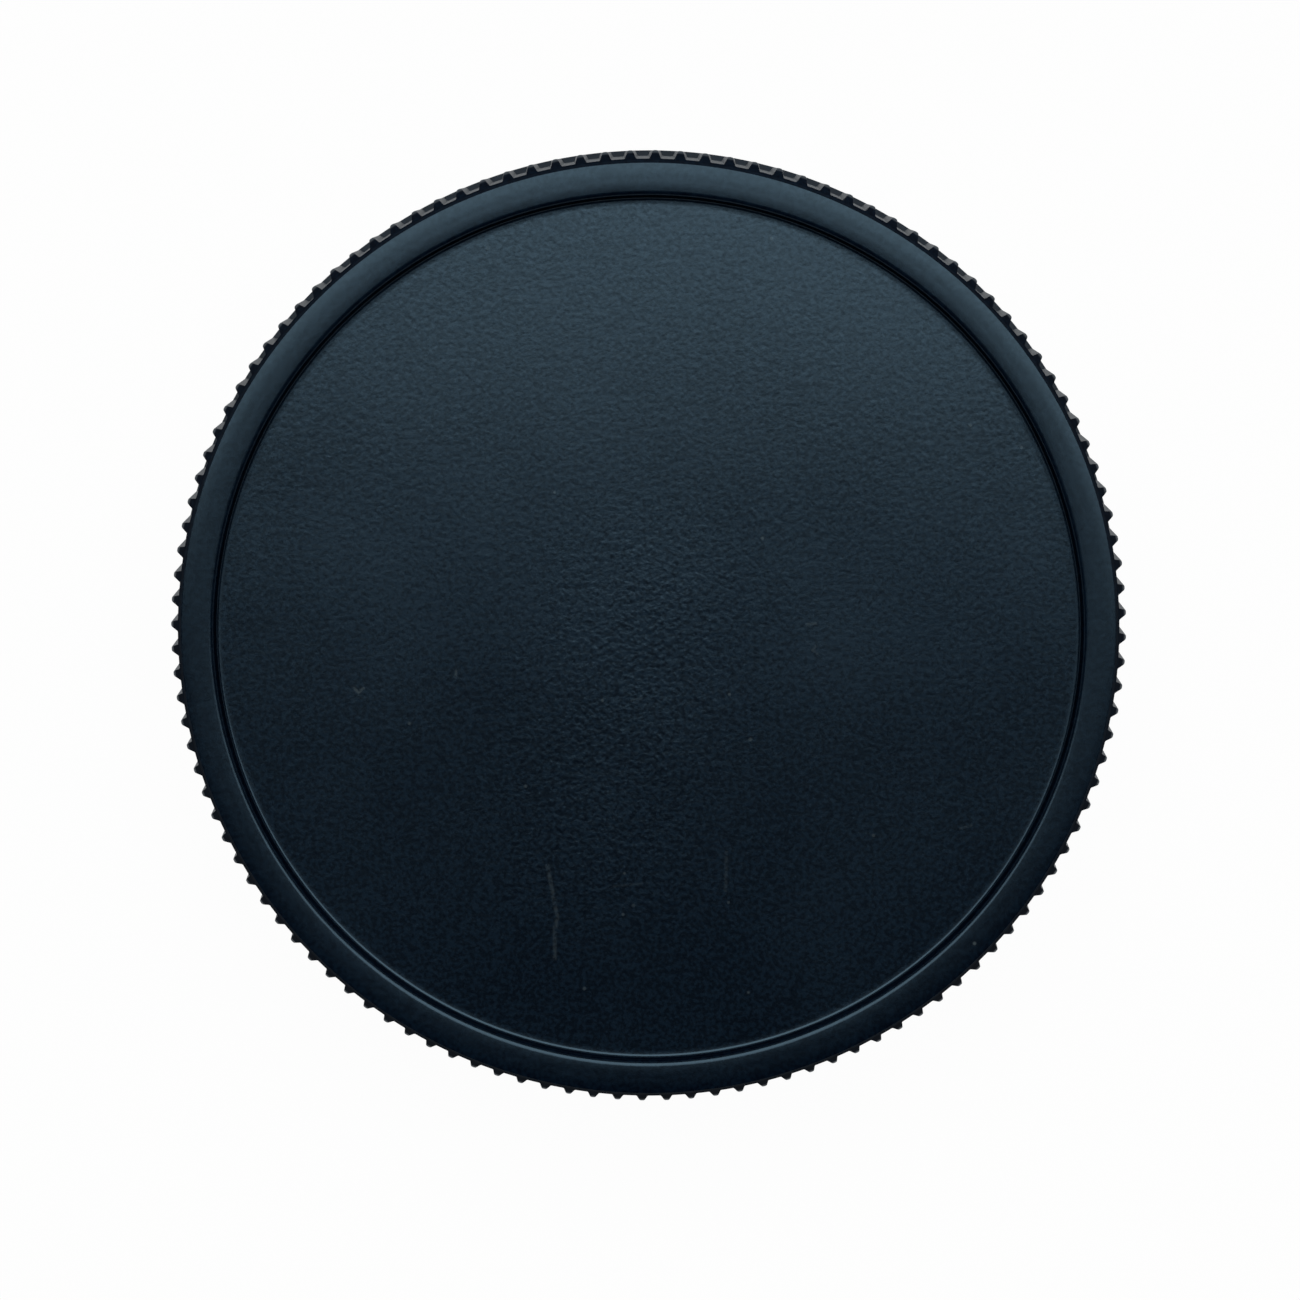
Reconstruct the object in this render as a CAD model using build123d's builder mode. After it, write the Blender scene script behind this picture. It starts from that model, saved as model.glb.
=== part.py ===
from build123d import *
import os
from math import cos, radians, sin, tan

os.makedirs("parts", exist_ok=True)

# The cap lies mouth down on the plane z = 0, with its closed face up.
# The origin is the centre of the mouth rim. All lengths are in millimetres.

# Overall size
overall_radius = 30.0
overall_height = 13.5

# Knurled band: ribs on a wall that spreads a little towards the mouth, ending at a smooth collar.
# The ribs widen towards the mouth as well, so that the mould can let go of them.
rib_count = 120
rib_height = 0.52
rib_inset = 0.05
rib_crest_width = 0.10
rib_root_depth = 0.05
rib_foot_depth = 0.5
rib_draft_angle = 3.0
flank_angle = 28.0
wall_draft_angle = 2.2
collar_height = 7.0
shoulder_angle = 57.0
mouth_edge_chamfer = 0.25

# Border ring: its face falls a little towards the bevel, and the ribs' ends slant a little more steeply
bevel_width = 0.23
bevel_angle = 57.0
rib_start_gap = 0.04
rib_end_angle = 64.0
crown_width = 0.75
crown_drop = 0.045
ring_width = 1.99
ring_inner_round = 0.38

# Shallow recess inside the ring
recess_depth = 0.80
recess_draft_angle = 6.0
recess_corner_chamfer = 0.16

# Hollow inside
end_wall = 1.6
skirt_wall = 1.93
inside_draft_angle = 1.0
inside_corner_chamfer = 0.8
mouth_lead_in = 0.35

# Bayonet claws at the mouth, which hold the lugs of the lens from behind
claw_count = 3
claw_arc = 56.0
claw_inner_radius = 24.2
claw_setback = 0.35
claw_thickness = 1.35
claw_corner_radius = 0.8
claw_root = 0.6
ramp_arc = 12.0
ramp_rise = 0.35
stop_width = 1.6
stop_depth = 1.5
stop_height = 2.6

# Places that follow from these sizes
face_z = overall_height
recess_z = face_z - recess_depth
ceiling_z = recess_z - end_wall
tip_radius = overall_radius - rib_inset
root_radius = tip_radius - rib_height
bevel_top_radius = root_radius - bevel_width
bevel_top_z = face_z - crown_drop
bevel_foot_z = bevel_top_z - bevel_width * tan(radians(bevel_angle))
ring_inner_radius = bevel_top_radius - ring_width
disc_radius = ring_inner_radius - recess_depth * tan(radians(recess_draft_angle))
mouth_radius = root_radius - skirt_wall
ceiling_radius = mouth_radius - ceiling_z * tan(radians(inside_draft_angle))
claw_top_z = claw_setback + claw_thickness

# The wall between the ribs leans out by its draft, down to the foot of the collar's sloping shoulder
shoulder_slope = tan(radians(shoulder_angle))
wall_slope = tan(radians(wall_draft_angle))
shoulder_drop = bevel_foot_z - collar_height
shoulder_reach = overall_radius - root_radius - shoulder_drop * wall_slope
shoulder_width = shoulder_reach / (1 - shoulder_slope * wall_slope)
shoulder_radius = overall_radius - shoulder_width
shoulder_z = collar_height + shoulder_width * shoulder_slope

# One rib: a bar cut by its two leaning flanks and by the slant of its front end
rib_foot_z = collar_height - rib_foot_depth
rib_root_radius = root_radius - rib_root_depth
crest_y = rib_crest_width / 2
flank_reach = (tip_radius - rib_root_radius) * tan(radians(flank_angle))
draft_reach = (face_z - rib_foot_z) * tan(radians(rib_draft_angle))
flank_x = sin(radians(flank_angle)) * cos(radians(rib_draft_angle))
flank_y = cos(radians(flank_angle)) * cos(radians(rib_draft_angle))
flank_z = cos(radians(flank_angle)) * sin(radians(rib_draft_angle))
rib_end_plane = Plane(
    origin=(root_radius, 0, bevel_foot_z - rib_start_gap),
    z_dir=(sin(radians(rib_end_angle)), 0, cos(radians(rib_end_angle))),
)

with BuildPart() as rib:
    with BuildSketch(Plane.XY.offset(rib_foot_z)):
        with Locations((rib_root_radius, 0)):
            Rectangle(
                tip_radius - rib_root_radius,
                2 * (crest_y + flank_reach + draft_reach),
                align=(Align.MIN, Align.CENTER),
            )
    extrude(amount=face_z - rib_foot_z)
    for side in (1, -1):
        crest_corner = (tip_radius, side * crest_y, face_z)
        flank_plane = Plane(origin=crest_corner, z_dir=(flank_x, side * flank_y, flank_z))
        split(bisect_by=flank_plane, keep=Keep.BOTTOM)
    split(bisect_by=rib_end_plane, keep=Keep.BOTTOM)

# One claw: a sector of a ring with a ramp at the end where the lug comes in, and a stop at the other end
ramp_length = claw_inner_radius * sin(radians(ramp_arc))
ramp_plane = Plane(
    origin=(0, 0, claw_top_z - ramp_rise),
    x_dir=(1, 0, 0),
    z_dir=(0, -ramp_rise, ramp_length),
)
claw_outer_radius = mouth_radius + claw_root

with BuildPart() as claw:
    with BuildSketch(Plane.XZ):
        with Locations((claw_inner_radius, claw_setback)):
            Rectangle(claw_outer_radius - claw_inner_radius, claw_thickness, align=Align.MIN)
    revolve(axis=Axis.Z, revolution_arc=claw_arc)
    upright_edges = claw.edges().filter_by(Axis.Z)
    inner_corners = upright_edges.group_by(lambda edge: edge.center().X ** 2 + edge.center().Y ** 2)[0]
    fillet(inner_corners, radius=claw_corner_radius)
    split(bisect_by=ramp_plane, keep=Keep.BOTTOM)
    with BuildSketch(Plane.XY.offset(claw_top_z)):
        with PolarLocations(mouth_radius, 1, start_angle=claw_arc):
            with Locations((-stop_depth, -stop_width)):
                Rectangle(stop_depth + claw_root, stop_width, align=Align.MIN)
    extrude(amount=stop_height)

# The whole cap: one turned section, with the ribs standing on its edge and the claws in its mouth
with BuildPart() as rear_cap:
    with BuildSketch(Plane.XZ) as section:
        with BuildLine():
            Polyline(
                (0, ceiling_z),
                (0, recess_z),
                (disc_radius, recess_z),
                (ring_inner_radius, face_z),
                (bevel_top_radius - crown_width, face_z),
            )
            TangentArc(
                (bevel_top_radius - crown_width, face_z),
                (bevel_top_radius, bevel_top_z),
                tangent=(1, 0),
            )
            Polyline(
                (bevel_top_radius, bevel_top_z),
                (root_radius, bevel_foot_z),
                (shoulder_radius, shoulder_z),
                (overall_radius, collar_height),
                (overall_radius, 0),
                (mouth_radius + mouth_lead_in, 0),
                (mouth_radius, mouth_lead_in),
                (ceiling_radius, ceiling_z),
                (0, ceiling_z),
            )
        make_face()
        fillet(section.vertices().sort_by_distance((ring_inner_radius, face_z))[0], radius=ring_inner_round)
        for corner, length in (
            ((disc_radius, recess_z), recess_corner_chamfer),
            ((overall_radius, 0), mouth_edge_chamfer),
            ((ceiling_radius, ceiling_z), inside_corner_chamfer),
        ):
            chamfer(section.vertices().sort_by_distance(corner)[0], length=length)
    revolve(axis=Axis.Z)
    with PolarLocations(0, rib_count):
        add(rib.part)
    with PolarLocations(0, claw_count):
        add(claw.part)

rear_cap.part.label = "rear_cap"
export_step(rear_cap.part, "parts/rear_cap.step")
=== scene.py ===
import math

import bmesh
import bpy
from mathutils import Matrix, Vector


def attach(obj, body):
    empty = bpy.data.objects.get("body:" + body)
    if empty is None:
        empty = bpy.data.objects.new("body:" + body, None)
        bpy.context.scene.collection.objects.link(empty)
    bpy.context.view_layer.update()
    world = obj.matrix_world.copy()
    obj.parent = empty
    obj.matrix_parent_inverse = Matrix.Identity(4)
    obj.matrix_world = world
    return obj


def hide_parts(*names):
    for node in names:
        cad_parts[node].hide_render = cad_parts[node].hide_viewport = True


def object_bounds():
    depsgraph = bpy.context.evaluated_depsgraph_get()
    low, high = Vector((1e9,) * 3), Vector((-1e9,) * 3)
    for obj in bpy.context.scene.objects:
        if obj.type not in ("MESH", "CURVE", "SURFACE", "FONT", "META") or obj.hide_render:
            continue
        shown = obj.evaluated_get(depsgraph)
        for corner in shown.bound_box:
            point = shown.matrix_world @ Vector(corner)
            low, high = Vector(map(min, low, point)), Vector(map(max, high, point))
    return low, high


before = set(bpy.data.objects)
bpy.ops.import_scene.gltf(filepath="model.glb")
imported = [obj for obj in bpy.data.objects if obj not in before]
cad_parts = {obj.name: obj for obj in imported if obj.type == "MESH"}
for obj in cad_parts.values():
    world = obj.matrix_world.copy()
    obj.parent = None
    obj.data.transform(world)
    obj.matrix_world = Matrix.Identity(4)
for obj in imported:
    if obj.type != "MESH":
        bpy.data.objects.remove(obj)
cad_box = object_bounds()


# The body of the rear lens cap: closed face, border ring, ribbed wall, collar and hollow inside.
# It is injection moulded in one shot from black plastic. One sector, as wide as the pitch of the
# ribs, is drawn here, and the whole body is that sector repeated round the axis.
MM = 0.001
rib_count = 120
half_pitch = math.pi / rib_count

# Radii from the outside inwards. The sizes of the body and the claws are in millimetres, and the outer
# ones are the solid's.
collar_radius = round(cad_box[1][0] / MM, 3)
rib_inset = 0.015
rib_height = 0.54
bevel_width = 0.245
ring_width = 2.045
crown_width = 0.75
recess_wall_width = 0.084
tip_radius = collar_radius - rib_inset
floor_radius = tip_radius - rib_height
ring_edge_radius = floor_radius - bevel_width
ring_flat_radius = ring_edge_radius - crown_width
ring_inner_radius = ring_edge_radius - ring_width
disc_edge_radius = ring_inner_radius - recess_wall_width

# Levels from the top down, with the slopes that lead from one to the next
ring_level = round(cad_box[1][2] / MM, 3)
crown_drop = 0.045
recess_depth = 0.8
end_wall = 1.6
bevel_slope = math.tan(math.radians(57))
rib_end_slope = math.tan(math.radians(64))
wall_spread = math.tan(math.radians(2.2))
ring_edge_level = ring_level - crown_drop
disc_level = ring_level - recess_depth
ceiling_level = disc_level - end_wall
floor_top_level = ring_edge_level - bevel_width * bevel_slope
collar_level = 7.0
shoulder_reach = collar_radius - floor_radius - (floor_top_level - collar_level) * wall_spread
shoulder_level = collar_level + shoulder_reach / (1 - bevel_slope * wall_spread) * bevel_slope

# Ribs, and the flutes between them
crest_half_width = 0.10
crest_round = 0.16
crest_round_limit = 1.6
flank_spread = math.tan(math.radians(2.2))
flank_lean = math.tan(math.radians(26))
root_round = 0.10
rib_end_round = 0.05
rib_end_drop = 0.04
floor_end_round = 0.04
floor_end_drop = 0.05
bevel_foot_margin = 0.07

# Mouth and hollow inside
rim_chamfer = 0.25
mouth_radius = 27.5
mouth_lead_in = 0.35
ceiling_radius = 27.306

# Soft edges
disc_corner_radius = 0.24
ring_inner_round = 0.38
ring_edge_round = 0.06
shoulder_round = 0.03
collar_round = 0.12
small_round = 0.06
ceiling_corner_round = 0.9

# Rows of points that only divide a surface
disc_rows = (9, 18, disc_edge_radius - 0.5)
ring_rows = (28.1, 28.3)
crown_row_shares = (0, 0.33, 0.66, 0.9)
bevel_row_step = 0.15
shoulder_row_step = 0.05
collar_rows = (collar_level - 0.4, collar_level - 0.8, 3.5)
ceiling_rows = (20, 10)


def rounded(corners, steps):
    """The corners (x, y, radius) as a list of points, each corner with a radius turned into an arc."""
    points = []
    for place, (x, y, radius) in enumerate(corners):
        corner = Vector((x, y))
        if not radius:
            points.append(corner)
            continue
        back = (Vector(corners[place - 1][:2]) - corner).normalized()
        ahead = (Vector(corners[place + 1][:2]) - corner).normalized()
        half = back.angle(ahead) / 2
        centre = corner + (back + ahead).normalized() * radius / math.sin(half)
        start = corner + back * radius / math.tan(half) - centre
        end = corner + ahead * radius / math.tan(half) - centre
        sweep = math.pi - 2 * half
        for step in range(steps + 1):
            share = step / steps
            arm = (start * math.sin((1 - share) * sweep) + end * math.sin(share * sweep)) / math.sin(sweep)
            points.append(centre + arm)
    return points


def rib_section(level):
    """Half a rib and half a flute at a level: (distance along the rim, height over the floor, normal)."""
    depth = floor_top_level - level
    height = rib_height - depth * wall_spread
    crest = crest_half_width + depth * flank_spread
    root = crest + height * flank_lean
    end = half_pitch * tip_radius
    crest_corner = (crest, height, min(crest_round, crest_round_limit * crest))
    points = rounded([(0, height, 0), crest_corner, (root, 0, root_round), (end, 0, 0)], steps=4)
    points.insert(-1, (points[-2] + points[-1]) / 2)
    normals = []
    for place, point in enumerate(points):
        run = points[min(place + 1, len(points) - 1)] - points[max(place - 1, 0)]
        normals.append(Vector((-run.y, run.x)).normalized())
    normals[0] = normals[-1] = Vector((0, 1))
    return list(zip(points, normals))


def curve_through(first, corner, last, steps):
    """Points of a soft bend that leaves the first point and reaches the last, drawn towards the corner."""
    shares = [step / steps for step in range(steps + 1)]
    return [first * (1 - s) ** 2 + corner * 2 * s * (1 - s) + last * s ** 2 for s in shares]


def on_bevel(radius, turn):
    """The point of the bevel's cone at a radius and a turn round the axis."""
    return Vector((radius, turn, ring_edge_level - (radius - ring_edge_radius) * bevel_slope))


def rib_columns():
    """The columns of the sector, each with its points (radius, turn, level) from bevel to shoulder."""
    columns = []
    wall_height = floor_top_level - shoulder_level
    for (above, normal), (below, _) in zip(rib_section(floor_top_level), rib_section(shoulder_level)):
        upper = Vector((floor_radius + above.y, above.x / tip_radius, floor_top_level))
        lower_floor = floor_radius + wall_height * wall_spread
        lower = Vector((lower_floor + below.y, below.x / tip_radius, shoulder_level))
        fall = (lower - upper) / wall_height
        # Where this line down the wall meets the slanted end above it and the sloping shoulder below it
        edge_depth = (upper.x - floor_radius) * rib_end_slope / (1 - fall.x * rib_end_slope)
        over_shoulder = floor_top_level - collar_level - (collar_radius - upper.x) * bevel_slope
        foot_depth = over_shoulder / (1 - fall.x * bevel_slope)
        edge = upper + fall * edge_depth
        foot = upper + fall * foot_depth
        share = above.y / rib_height
        inset = floor_end_round + (rib_end_round - floor_end_round) * share
        inner_radius = edge.x - inset * normal.y
        inner_turn = edge.y - inset * normal.x / tip_radius
        slope = rib_end_slope if inner_radius > floor_radius else bevel_slope
        inner = Vector((inner_radius, inner_turn, floor_top_level - (inner_radius - floor_radius) * slope))
        outer = edge + fall * (floor_end_drop + rib_end_drop * share)
        over = foot - fall * shoulder_round
        past = Vector((foot.x + shoulder_round / 2, foot.y, foot.z - shoulder_round / 2 * bevel_slope))
        line = [on_bevel(floor_radius - bevel_foot_margin, inner_turn)]
        line += curve_through(inner, edge, outer, steps=4)
        line += [outer.lerp(over, 0.5)]
        line += curve_through(over, foot, past, steps=2)
        columns.append(line)
    mirrored = [[Vector((p.x, -p.y, p.z)) for p in line] for line in columns[:0:-1]]
    return mirrored + columns


def sector_rows():
    """Rows of points (radius, turn, level) from the face's middle over the rim to the ceiling's middle."""
    coarse = [half_pitch * share for share in (-1, -1 / 3, 1 / 3, 1)]
    columns = rib_columns()
    fine = [line[0].y for line in columns]
    lowest = [line[-1].y for line in columns]

    def turned(profile, turns):
        return [[Vector((p[0], turn, p[1])) for turn in turns] for p in profile]

    face = [(row_radius, disc_level, 0) for row_radius in disc_rows]
    face += [(disc_edge_radius, disc_level, disc_corner_radius),
             (ring_inner_radius, ring_level, ring_inner_round), (ring_rows[0], ring_level, 0)]

    fall = ring_level - ring_edge_level
    reach = ring_edge_radius - ring_flat_radius
    crown_radius = (reach ** 2 + fall ** 2) / (2 * fall)
    crown_centre = ring_level - crown_radius
    ring = [(ring_rows[1], ring_level, 0)]
    for share in crown_row_shares:
        out = reach * share
        ring.append((ring_flat_radius + out, crown_centre + math.sqrt(crown_radius ** 2 - out ** 2), 0))
    bevel_end = on_bevel(ring_edge_radius + bevel_row_step, 0)
    ring += [(ring_edge_radius, ring_edge_level, ring_edge_round), (bevel_end.x, bevel_end.z, 0)]

    collar = [(collar_radius - shoulder_row_step, collar_level + shoulder_row_step * bevel_slope, 0),
              (collar_radius, collar_level, collar_round), (collar_radius, collar_rows[0], 0)]

    inside = [(collar_radius, row_level, 0) for row_level in collar_rows[1:]]
    inside += [(collar_radius, rim_chamfer, small_round), (collar_radius - rim_chamfer, 0, small_round),
               (mouth_radius + mouth_lead_in, 0, small_round), (mouth_radius, mouth_lead_in, small_round),
               (ceiling_radius, ceiling_level, ceiling_corner_round)]
    inside += [(row_radius, ceiling_level, 0) for row_radius in ceiling_rows]

    rows = [[Vector((0, 0, disc_level))]]
    rows += turned(rounded(face, steps=6), coarse)
    rows += turned(rounded(ring, steps=3)[:-1], fine)
    rows += [[line[place] for line in columns] for place in range(len(columns[0]))]
    rows += turned(rounded(collar, steps=3)[1:], lowest)
    rows += turned(rounded(inside, steps=3), coarse)
    rows.append([Vector((0, 0, ceiling_level))])
    return rows


def placed(point):
    """Where a point (radius, turn, level) lies in the scene."""
    return Vector((point.x * math.cos(point.y), point.x * math.sin(point.y), point.z)) * MM


def mesh_of_rows(rows, name):
    """A mesh with each row joined to the next: four-sided faces where they match, triangles elsewhere."""
    mesh = bmesh.new()
    made = [[mesh.verts.new(placed(point)) for point in row] for row in rows]
    for (row, verts), (next_row, next_verts) in zip(zip(rows, made), zip(rows[1:], made[1:])):
        here = there = 0
        while here < len(verts) - 1 or there < len(next_verts) - 1:
            if len(verts) == len(next_verts):
                mesh.faces.new((verts[here], verts[here + 1], next_verts[here + 1], next_verts[here]))
                here, there = here + 1, there + 1
                continue
            step_here = there == len(next_verts) - 1
            if not step_here and here < len(verts) - 1:
                step_here = row[here + 1].y + row[here].y <= next_row[there + 1].y + next_row[there].y
            if step_here:
                mesh.faces.new((verts[here], verts[here + 1], next_verts[there]))
                here += 1
            else:
                mesh.faces.new((verts[here], next_verts[there + 1], next_verts[there]))
                there += 1
    sector = bpy.data.meshes.new(name)
    mesh.to_mesh(sector)
    mesh.free()
    return sector


def turning_tree(name):
    """Geometry Nodes that repeat a mesh evenly round the axis and give every copy one material."""
    tree = bpy.data.node_groups.new(name, "GeometryNodeTree")
    for socket, kind in (("Geometry", "Geometry"), ("Copies", "Int"), ("Material", "Material")):
        tree.interface.new_socket(socket, in_out="INPUT", socket_type="NodeSocket" + kind)
    tree.interface.new_socket("Geometry", in_out="OUTPUT", socket_type="NodeSocketGeometry")
    new, link = tree.nodes.new, tree.links.new
    given, result = new("NodeGroupInput"), new("NodeGroupOutput")
    points, place = new("GeometryNodePoints"), new("GeometryNodeInstanceOnPoints")
    index, turn = new("GeometryNodeInputIndex"), new("FunctionNodeAxisAngleToRotation")
    pitch, angle = new("ShaderNodeMath"), new("ShaderNodeMath")
    realize, paint = new("GeometryNodeRealizeInstances"), new("GeometryNodeSetMaterial")
    pitch.operation, angle.operation = "DIVIDE", "MULTIPLY"
    pitch.inputs[0].default_value = 2 * math.pi
    turn.inputs["Axis"].default_value = (0, 0, 1)
    link(given.outputs["Copies"], points.inputs["Count"])
    link(given.outputs["Copies"], pitch.inputs[1])
    link(pitch.outputs[0], angle.inputs[0])
    link(index.outputs[0], angle.inputs[1])
    link(angle.outputs[0], turn.inputs["Angle"])
    link(points.outputs[0], place.inputs["Points"])
    link(given.outputs["Geometry"], place.inputs["Instance"])
    link(turn.outputs[0], place.inputs["Rotation"])
    link(place.outputs[0], realize.inputs[0])
    link(realize.outputs[0], paint.inputs["Geometry"])
    link(given.outputs["Material"], paint.inputs["Material"])
    link(paint.outputs[0], result.inputs[0])
    return tree


around_axis = turning_tree("around_axis")
weld_distance = 0.0005 * MM


def turned_round(mesh, name, copies, material):
    """An object with a mesh repeated round the axis, its seams and poles closed and its faces outwards."""
    mesh.materials.append(material)
    source = bpy.data.objects.new(name + "_source", mesh)
    bpy.context.scene.collection.objects.link(source)
    modifier = source.modifiers.new("around_axis", "NODES")
    modifier.node_group = around_axis
    items = around_axis.interface.items_tree
    sockets = {item.name: item.identifier for item in items if item.in_out == "INPUT"}
    modifier[sockets["Copies"]] = copies
    modifier[sockets["Material"]] = material
    bpy.context.view_layer.update()
    whole = bpy.data.meshes.new_from_object(source.evaluated_get(bpy.context.evaluated_depsgraph_get()))
    source.modifiers.remove(modifier)
    bpy.data.objects.remove(source)
    closed = bmesh.new()
    closed.from_mesh(whole)
    bmesh.ops.remove_doubles(closed, verts=closed.verts, dist=weld_distance)
    bmesh.ops.recalc_face_normals(closed, faces=closed.faces)
    closed.to_mesh(whole)
    closed.free()
    made = bpy.data.objects.new(name, whole)
    bpy.context.scene.collection.objects.link(made)
    return made


# The plastic: black, with a cold sheen. The recessed disc carries the fine grain of an eroded mould,
# the ring and the ribs are smoother, and years in a bag left a few pale scratches and specks on the disc.
class Value:
    """A number that changes over a surface: one socket, with Python's operators standing for Math nodes."""

    def __init__(self, finish, socket):
        self.finish, self.socket = finish, socket

    def math(self, operation, *others, clamp=False):
        sockets = dict(enumerate((self,) + others))
        return self.finish.value("ShaderNodeMath", sockets, operation=operation, use_clamp=clamp)

    def __add__(self, other):
        return self.math("ADD", other)

    def __sub__(self, other):
        return self.math("SUBTRACT", other)

    def __mul__(self, other):
        return self.math("MULTIPLY", other)

    def __rsub__(self, other):
        return self.math("MULTIPLY_ADD", -1.0, other)

    __radd__, __rmul__ = __add__, __mul__

    def or_more(self, other):
        """The larger of the two."""
        return self.math("MAXIMUM", other)

    def ramp(self, start, end):
        """0 at the start value, 1 at the end value and soft between them; the end may be the lower one."""
        sockets = {"Value": self, "From Min": start, "From Max": end}
        return self.finish.value("ShaderNodeMapRange", sockets, interpolation_type="SMOOTHSTEP")


class Finish:
    """The nodes of a material or of the room, added one by one."""

    def __init__(self, owner):
        owner.use_nodes = True
        self.tree = owner.node_tree
        self.tree.nodes.clear()

    def node(self, kind, sockets=None, **settings):
        made = self.tree.nodes.new(kind)
        for name, setting in settings.items():
            setattr(made, name, setting)
        for name, given in (sockets or {}).items():
            given = given.socket if isinstance(given, Value) else given
            if isinstance(given, bpy.types.NodeSocket):
                self.tree.links.new(given, made.inputs[name])
            else:
                made.inputs[name].default_value = given
        return made

    def value(self, kind, sockets, output=0, **settings):
        return Value(self, self.node(kind, sockets, **settings).outputs[output])

    def vector(self, operation, sockets):
        return self.node("ShaderNodeVectorMath", sockets, operation=operation).outputs["Vector"]

    def measure(self, operation, sockets):
        return self.value("ShaderNodeVectorMath", sockets, "Value", operation=operation)


black_plastic = bpy.data.materials.new("moulded_plastic")
plastic = Finish(black_plastic)
object_place = plastic.node("ShaderNodeTexCoord").outputs["Object"]
place_mm = plastic.vector("SCALE", {0: object_place, "Scale": 1 / MM})
split = plastic.node("ShaderNodeSeparateXYZ", {0: place_mm})
across, along, level = (Value(plastic, split.outputs[axis]) for axis in "XYZ")
radius = (across * across + along * along).math("SQRT")
flat_place = plastic.node("ShaderNodeCombineXYZ", {0: across, 1: along}).outputs[0]


def noise(per_mm, detail, shift=0.0, place=place_mm):
    """Noise from about -0.5 to 0.5, with a number of bumps per millimetre."""
    moved = plastic.vector("ADD", {0: place, 1: (shift, shift, shift)})
    sockets = {"Vector": moved, "Scale": per_mm, "Detail": detail, "Roughness": 0.5}
    return plastic.value("ShaderNodeTexNoise", sockets) - 0.5


def distance_to(start, end):
    """How far each point of the face lies from the line between two points, in millimetres."""
    run = Vector(end) - Vector(start)
    from_start = plastic.vector("SUBTRACT", {0: flat_place, 1: (*start, 0)})
    share = plastic.measure("DOT_PRODUCT", {0: from_start, 1: (*(run / run.length_squared), 0)})
    share = share.math("ADD", 0.0, clamp=True)
    along_run = plastic.vector("SCALE", {0: (*run, 0), "Scale": share})
    return plastic.measure("LENGTH", {0: plastic.vector("SUBTRACT", {0: from_start, 1: along_run})})


# Where the shares below begin and end: a radius or level at which a share is 0, and the one where it is 1
face_over = (12.0, 12.4)
disc_within = (26.90, 26.70)
recess_wall_from, recess_wall_to = (27.01, 27.06), (27.27, 27.20)
ring_from = (27.30, 27.50)
wall_from, wall_over = (29.17, 29.23), (6.2, 6.8)
rib_end_over, rib_end_to = (-0.10, -0.04), (29.90, 29.76)
bevel_to, bevel_over = (floor_radius + 0.03, floor_radius), (13.0, 13.07)
shoulder_under, shoulder_over = (7.70, 7.55), (7.0, 7.08)

# Shares of the surface, each from 0 to 1: the closed face, and on it the disc, the wall of the recess and
# the ring; the ribbed wall, and on it the slanted ends of the ribs, the bevel and the shoulder
face_share = level.ramp(*face_over)
disc_share = radius.ramp(*disc_within) * face_share
recess_wall = radius.ramp(*recess_wall_from) * radius.ramp(*recess_wall_to) * face_share
wall_share = radius.ramp(*wall_from) * level.ramp(*wall_over)
ring_share = radius.ramp(*ring_from) * (1.0 - wall_share) * face_share
over_end_plane = level + (radius - floor_radius) * rib_end_slope - floor_top_level
rib_end = over_end_plane.ramp(*rib_end_over) * radius.ramp(*rib_end_to)
bevel = radius.ramp(*bevel_to) * level.ramp(*bevel_over)
shoulder = level.ramp(*shoulder_under) * level.ramp(*shoulder_over)
bevel_slant, shoulder_slant = 0.93, 0.5
slanted_share = rib_end.or_more(bevel * bevel_slant).or_more(shoulder * shoulder_slant)

# Two wide soft patches of the disc: one more worn and coarser, one a little lighter in colour
worn_patch_reach, lighter_patch_reach = (11.0, 0.0), (11.0, 2.0)
worn_patch = distance_to((0.0, 1.0), (-3.5, -12.0)).ramp(*worn_patch_reach)
lighter_patch = distance_to((-14.0, 5.0), (20.0, 1.5)).ramp(*lighter_patch_reach)

# Grain of the disc: low bumps, which show in the light, pores, which show from all round, and pale points,
# which are painted glints of the grain in the colour
coarse_bumps, fine_bumps = 0.9, 0.3
bumps = noise(per_mm=2.6, detail=1.5) * coarse_bumps + noise(per_mm=5.2, detail=1.0, shift=7.0) * fine_bumps
pores = noise(per_mm=3.9, detail=1.0, shift=23.0)
painted_glint_peaks = (0.10, 0.30)
painted_glints = noise(per_mm=3.0, detail=1.0, shift=51.0).ramp(*painted_glint_peaks) * disc_share
blotches = noise(per_mm=0.08, detail=2.0, shift=11.0)
drawn_out = plastic.vector("MULTIPLY", {0: place_mm, 1: (0.5, 2.6, 1.0)})
ring_lines = noise(per_mm=1.1, detail=2.0, shift=31.0, place=drawn_out)
bump_height = 0.02 * MM
disc_bumps, worn_patch_bumps, other_bumps = 0.33, 0.45, 0.05
height = bumps * disc_share * (disc_bumps + worn_patch_bumps * worn_patch)
height = height + bumps * other_bumps * (1.0 - disc_share)
bump = plastic.node("ShaderNodeBump", {"Strength": 1.0, "Distance": bump_height, "Height": height}).outputs[0]

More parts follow.
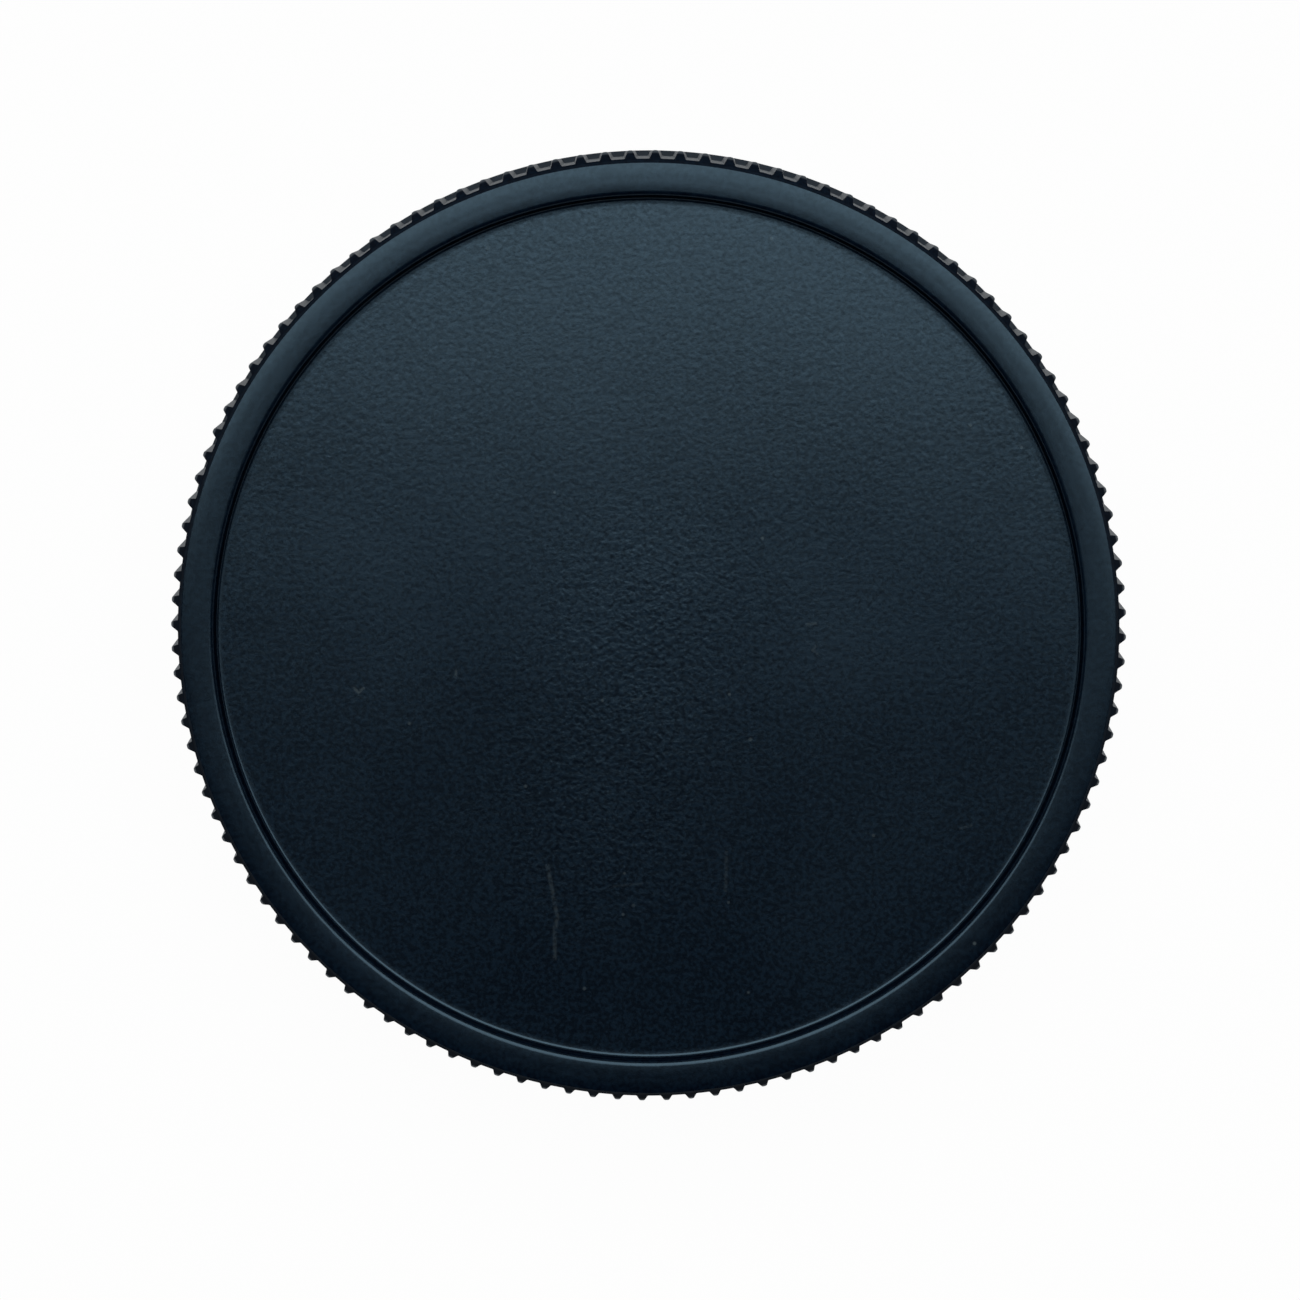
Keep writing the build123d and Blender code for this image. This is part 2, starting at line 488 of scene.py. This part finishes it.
# Marks of use: half their width and how pale they are, then their points (x, y) in millimetres on the face
scratches = [
    (0.19, 0.32, (-6.93, -14.56), (-6.44, -17.87), (-6.63, -18.60), (-6.72, -20.48)),
    (0.16, 0.20, (4.36, -14.14), (4.21, -16.56)),
    (0.10, 0.16, (-2.83, -16.03), (-1.00, -15.91)),
    (0.14, 0.62, (-18.63, -2.80), (-18.33, -3.13), (-18.00, -2.89)),
    (0.13, 0.50, (9.89, 0.07), (10.46, 0.12)),
    (0.13, 0.50, (-12.16, -2.04), (-12.21, -2.42)),
    (0.11, 0.35, (-1.24, -4.29), (-0.61, -4.19)),
    (0.12, 0.28, (19.13, -13.18), (19.82, -13.02)),
    (0.12, 0.28, (10.41, -1.33), (10.21, -1.58), (10.52, -1.78)),
]
specks = [
    (0.16, 0.60, (8.56, 24.21)), (0.16, 0.45, (-9.08, 24.27)), (0.15, 0.45, (-15.22, -5.21)),
    (0.17, 0.50, (6.13, -7.04)), (0.16, 0.45, (13.64, -13.42)), (0.16, 0.50, (-4.92, -22.47)),
    (0.15, 0.45, (-8.11, -9.47)), (0.14, 0.60, (-3.06, -4.22)), (0.15, 0.70, (7.33, 5.58)),
    (0.14, 0.70, (20.54, 12.14)), (0.14, 0.60, (4.91, -4.15)), (0.12, 0.70, (-5.54, 8.95)),
    (0.14, 0.50, (-2.30, -17.84)), (0.13, 0.50, (-2.11, -15.23)), (0.15, 0.35, (-1.62, -17.29)),
    (0.13, 0.45, (4.37, -17.33)), (0.14, 0.60, (23.68, 10.64)), (0.13, 0.50, (5.42, -23.12)),
    (0.16, 0.90, (19.73, -20.40)),
]
scratch_core, speck_core = 0.2, 0.3
scratch_gaps = (-0.25, 0.1)
ragged = noise(per_mm=3.2, detail=1.0, shift=77.0).ramp(*scratch_gaps)
marks = 0.0
for half_width, paleness, *points in scratches:
    apart = distance_to(points[0], points[1])
    for start, end in zip(points[1:], points[2:]):
        apart = apart.math("MINIMUM", distance_to(start, end))
    marks = (apart.ramp(half_width, half_width * scratch_core) * (ragged * paleness)).or_more(marks)
for half_width, paleness, spot in specks:
    apart = plastic.measure("DISTANCE", {0: flat_place, 1: (*spot, 0)})
    marks = (apart.ramp(half_width, half_width * speck_core) * paleness).or_more(marks)
marks = marks * face_share

# Colour: from the deeper to the greyer black, and towards a pale grey where it is marked
deep_black = (0.0001, 0.0012, 0.0048, 1)
grey_black = (0.0016, 0.0060, 0.0140, 1)
pale_grey = (0.048, 0.062, 0.068, 1)
mean_tone, lighter_patch_tone, blotch_tone, painted_glint_tone = 0.38, 0.40, 0.6, 0.8
pore_tone, disc_pore_tone = 2.2, 3.4
tone = mean_tone + lighter_patch * lighter_patch_tone + blotches * blotch_tone
# Pores of the grain, and painted glints of the grain that lift the tone at the pale points
tone = tone + pores * (pore_tone + disc_pore_tone * disc_share) + painted_glints * painted_glint_tone


def mixed_colour(share, first, second):
    """The first colour where the share is 0, the second where it is 1."""
    sockets = {"Factor": share, 6: first, 7: second}
    return plastic.node("ShaderNodeMix", sockets, data_type="RGBA", clamp_factor=True).outputs[2]


colour = mixed_colour(marks, mixed_colour(tone, deep_black, grey_black), pale_grey)

# Two skins, one with a sheen and one dull, mixed by place
mean_rough, disc_rough, wall_rough, blotch_rough, ring_line_rough = 0.25, -0.03, 0.23, 0.05, 0.06
roughness = mean_rough + disc_rough * disc_share + wall_rough * wall_share + blotches * blotch_rough
roughness = roughness + ring_lines * ring_line_rough * (1.0 - disc_share)
sheen_tint = (0.475, 0.765, 0.98, 1)
shiny = plastic.node("ShaderNodeBsdfPrincipled", {
    "Base Color": colour, "Roughness": roughness, "IOR": 1.5, "Specular IOR Level": 0.56,
    "Specular Tint": sheen_tint, "Normal": bump})
dull = plastic.node("ShaderNodeBsdfPrincipled", {
    "Base Color": colour, "Roughness": 0.7, "Specular IOR Level": 0.0, "Normal": bump})

disc_dull, pore_dull, worn_pore_dull, blotch_dull = 0.10, 0.62, 0.74, 0.25
ring_dull, ring_pore_dull = 0.26, 0.30
wall_dull, slanted_dull, recess_wall_dull = 0.24, 0.70, 0.82
on_disc = disc_dull - pores * (pore_dull + worn_pore_dull * worn_patch) - blotches * blotch_dull
on_ring = ring_dull - pores * ring_pore_dull
on_wall = wall_dull + slanted_dull * slanted_share
dull_share = disc_share * on_disc + recess_wall_dull * recess_wall
dull_share = dull_share + ring_share * on_ring + wall_share * on_wall
dull_share = dull_share.math("MAXIMUM", 0.0, clamp=True)
skin = plastic.node("ShaderNodeMixShader", {0: dull_share, 1: shiny.outputs[0], 2: dull.outputs[0]})
plastic.node("ShaderNodeOutputMaterial", {"Surface": skin.outputs[0]})

body = turned_round(mesh_of_rows(sector_rows(), "body_sector"), "cap_body", rib_count, black_plastic)


# The three bayonet claws in the mouth, moulded with the body. Each is a sector of a ring with a ramp
# where the lens's lug comes in and a stop at its other end.
claw_count = 3
claw_arc = math.radians(56)
claw_inner_radius = 24.2
claw_bottom = 0.35
claw_top = 1.70
claw_corner = 0.8
claw_outer_radius = mouth_radius + 0.6
claw_steps, claw_corner_steps = 36, 6
ramp_rise = 0.35
ramp_length = claw_inner_radius * math.sin(math.radians(12))
stop_inner_radius = mouth_radius - 1.5
stop_outer_radius = claw_outer_radius - 0.05
stop_width = 1.6
stop_end_gap = 0.05
stop_bottom = claw_bottom + 0.3
stop_top = claw_top + 2.6
claw_edge_round = 0.12
sharp_angle = math.radians(40)


def claw_mesh():
    """One claw with its stop, as a closed mesh with softened edges."""
    reach = claw_arc * claw_inner_radius
    corner_turns = [math.radians(90 * step / claw_corner_steps) for step in range(claw_corner_steps + 1)]
    ends = [claw_corner * (1 - math.cos(turn)) for turn in corner_turns]
    middle = [claw_corner + (reach - 2 * claw_corner) * step / claw_steps for step in range(1, claw_steps)]
    stations = ends + middle + [reach - end for end in reversed(ends)]
    mesh = bmesh.new()
    rings = []
    for station in stations:
        turn = station / claw_inner_radius
        corner = max(claw_corner - min(station, reach - station), 0)
        inner = claw_inner_radius + claw_corner - math.sqrt(claw_corner ** 2 - corner ** 2)
        ring = []
        section = ((inner, False), (inner, True), (claw_outer_radius, True), (claw_outer_radius, False))
        for arm, top in section:
            x, y = arm * math.cos(turn), arm * math.sin(turn)
            ramp_top = claw_top - ramp_rise * (1 - min(y / ramp_length, 1))
            ring.append(mesh.verts.new(Vector((x, y, ramp_top if top else claw_bottom)) * MM))
        rings.append(ring)
    for ring, following in zip(rings, rings[1:]):
        for side in range(4):
            nearest = (side + 1) % 4
            mesh.faces.new((ring[side], ring[nearest], following[nearest], following[side]))
    mesh.faces.new(rings[0])
    mesh.faces.new(rings[-1])
    low = Vector((stop_inner_radius, -stop_width, stop_bottom))
    high = Vector((stop_outer_radius, -stop_end_gap, stop_top))
    to_claw_end = Matrix.Rotation(claw_arc, 3, "Z")
    for vert in bmesh.ops.create_cube(mesh, size=1)["verts"]:
        share = vert.co + Vector((0.5, 0.5, 0.5))
        vert.co = to_claw_end @ (low + Vector(((high - low)[i] * share[i] for i in range(3)))) * MM
    bmesh.ops.recalc_face_normals(mesh, faces=mesh.faces)
    sharp = [edge for edge in mesh.edges if edge.calc_face_angle(0) > sharp_angle]
    bmesh.ops.bevel(mesh, geom=sharp, offset=claw_edge_round * MM, segments=2, profile=0.5, affect="EDGES")
    made = bpy.data.meshes.new("claw")
    mesh.to_mesh(made)
    mesh.free()
    return made


claws = turned_round(claw_mesh(), "cap_claws", claw_count, black_plastic)

# Body and claws are one moulding, so they become one mesh with one skin.
union = body.modifiers.new("one_skin", "BOOLEAN")
union.operation, union.solver, union.object = "UNION", "EXACT", claws
union.use_self = True
weigh = body.modifiers.new("soft_shading", "WEIGHTED_NORMAL")
weigh.mode, weigh.keep_sharp, weigh.weight = "FACE_AREA", True, 100
body.data.shade_smooth()
bpy.context.view_layer.update()
cap_mesh = bpy.data.meshes.new_from_object(body.evaluated_get(bpy.context.evaluated_depsgraph_get()))
bpy.data.objects.remove(body)
bpy.data.objects.remove(claws)
cap = bpy.data.objects.new("lens_cap", cap_mesh)
bpy.context.scene.collection.objects.link(cap)
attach(cap, "root")
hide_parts("rear_cap")


# The stage: a plain white table, 3 m across, that the cap lies on with its mouth down. It shows white to
# the lens and in reflections, and keeps a faint shadow.
table_radius = 1.5
table_level = -0.02 * MM
table_glow = 0.97
white, paper_grey = (1, 1, 1, 1), (0.8, 0.8, 0.8, 1)


def mirrored(finish, ray):
    """1 for a ray that a glossy or clear surface sends on, else 0."""
    return Value(finish, ray["Is Glossy Ray"]).or_more(ray["Is Transmission Ray"])


white_table = bpy.data.materials.new("white_table")
paper = Finish(white_table)
ray = paper.node("ShaderNodeLightPath").outputs
seen = mirrored(paper, ray).or_more(ray["Is Camera Ray"])
matte = paper.node("ShaderNodeBsdfDiffuse", {"Color": paper_grey})
glow = paper.node("ShaderNodeEmission", {"Color": white, "Strength": 1.0})
mixed = paper.node("ShaderNodeMixShader", {0: seen * table_glow, 1: matte.outputs[0], 2: glow.outputs[0]})
paper.node("ShaderNodeOutputMaterial", {"Surface": mixed.outputs[0]})

table_mesh = bpy.data.meshes.new("table")
circle = bmesh.new()
bmesh.ops.create_circle(circle, cap_ends=True, segments=96, radius=table_radius)
circle.to_mesh(table_mesh)
circle.free()
table = bpy.data.objects.new("table", table_mesh)
table.data.materials.append(white_table)
table.location.z = table_level
bpy.context.scene.collection.objects.link(table)

# The room round the table: white to the lens, white low down in reflections, and dim overhead.
ambient = 0.01
white_up_to = (0.25, 0.03)
world = bpy.data.worlds.new("room")
bpy.context.scene.world = world
room = Finish(world)
ray = room.node("ShaderNodeLightPath").outputs
direction = room.node("ShaderNodeTexCoord").outputs["Generated"]
upward = Value(room, room.node("ShaderNodeSeparateXYZ", {0: direction}).outputs["Z"])
low_down = upward.ramp(*white_up_to)
strength = (low_down * mirrored(room, ray)).or_more(ray["Is Camera Ray"]).or_more(ambient)
sky = room.node("ShaderNodeBackground", {"Color": white, "Strength": strength})
room.node("ShaderNodeOutputWorld", {"Surface": sky.outputs[0]})

# The camera stands over the cap, leant a little towards the picture's top edge.
up_angle = math.radians(87.8)
camera_lean = math.radians(5.67)
camera_distance = 283.3 * MM
face_centre = Vector((0, 0, 11.9 * MM))
aim_down, aim_right = 1.234, 0.085
picture_up = Vector((math.cos(up_angle), math.sin(up_angle), 0))
picture_right = Vector((picture_up.y, -picture_up.x, 0))
leant = picture_up * math.sin(camera_lean) + Vector((0, 0, math.cos(camera_lean)))
eye = face_centre + leant * camera_distance
sight_up = picture_right.cross((face_centre - eye).normalized())
aim = face_centre - sight_up * aim_down * MM + picture_right * aim_right * MM
backward = (eye - aim).normalized()
upright = backward.cross(picture_right).normalized()
camera = bpy.data.objects.new("camera", bpy.data.cameras.new("camera"))
camera.data.lens = 124.93
camera.data.sensor_width = 36
camera.matrix_world = Matrix((upright.cross(backward), upright, backward)).transposed().to_4x4()
camera.matrix_world.translation = eye
bpy.context.scene.collection.objects.link(camera)
bpy.context.scene.camera = camera

# The light: one soft window, 1.1 m by 0.9 m and 1 m away, leant from straight overhead towards the
# picture's top and turned a little round the axis.
window_lean, window_turn = math.radians(24), math.radians(-3.5)
window_width, window_height = 1.1, 0.9
window_distance = 1.0
window_radiance, energy_per_radiance = 2.6, 4
ahead = Matrix.Rotation(window_turn, 3, "Z") @ picture_up
outward = (ahead * math.sin(window_lean) + Vector((0, 0, math.cos(window_lean)))).normalized()
across_window = Vector((ahead.y, -ahead.x, 0))
window = bpy.data.objects.new("window", bpy.data.lights.new("window", "AREA"))
window.data.shape, window.data.size, window.data.size_y = "RECTANGLE", window_width, window_height
window.data.energy = window_radiance * energy_per_radiance * window_width * window_height
window.visible_camera = False
window.matrix_world = Matrix((across_window, outward.cross(across_window), outward)).transposed().to_4x4()
window.matrix_world.translation = outward * window_distance
bpy.context.scene.collection.objects.link(window)

bpy.context.scene.view_settings.view_transform = "Standard"
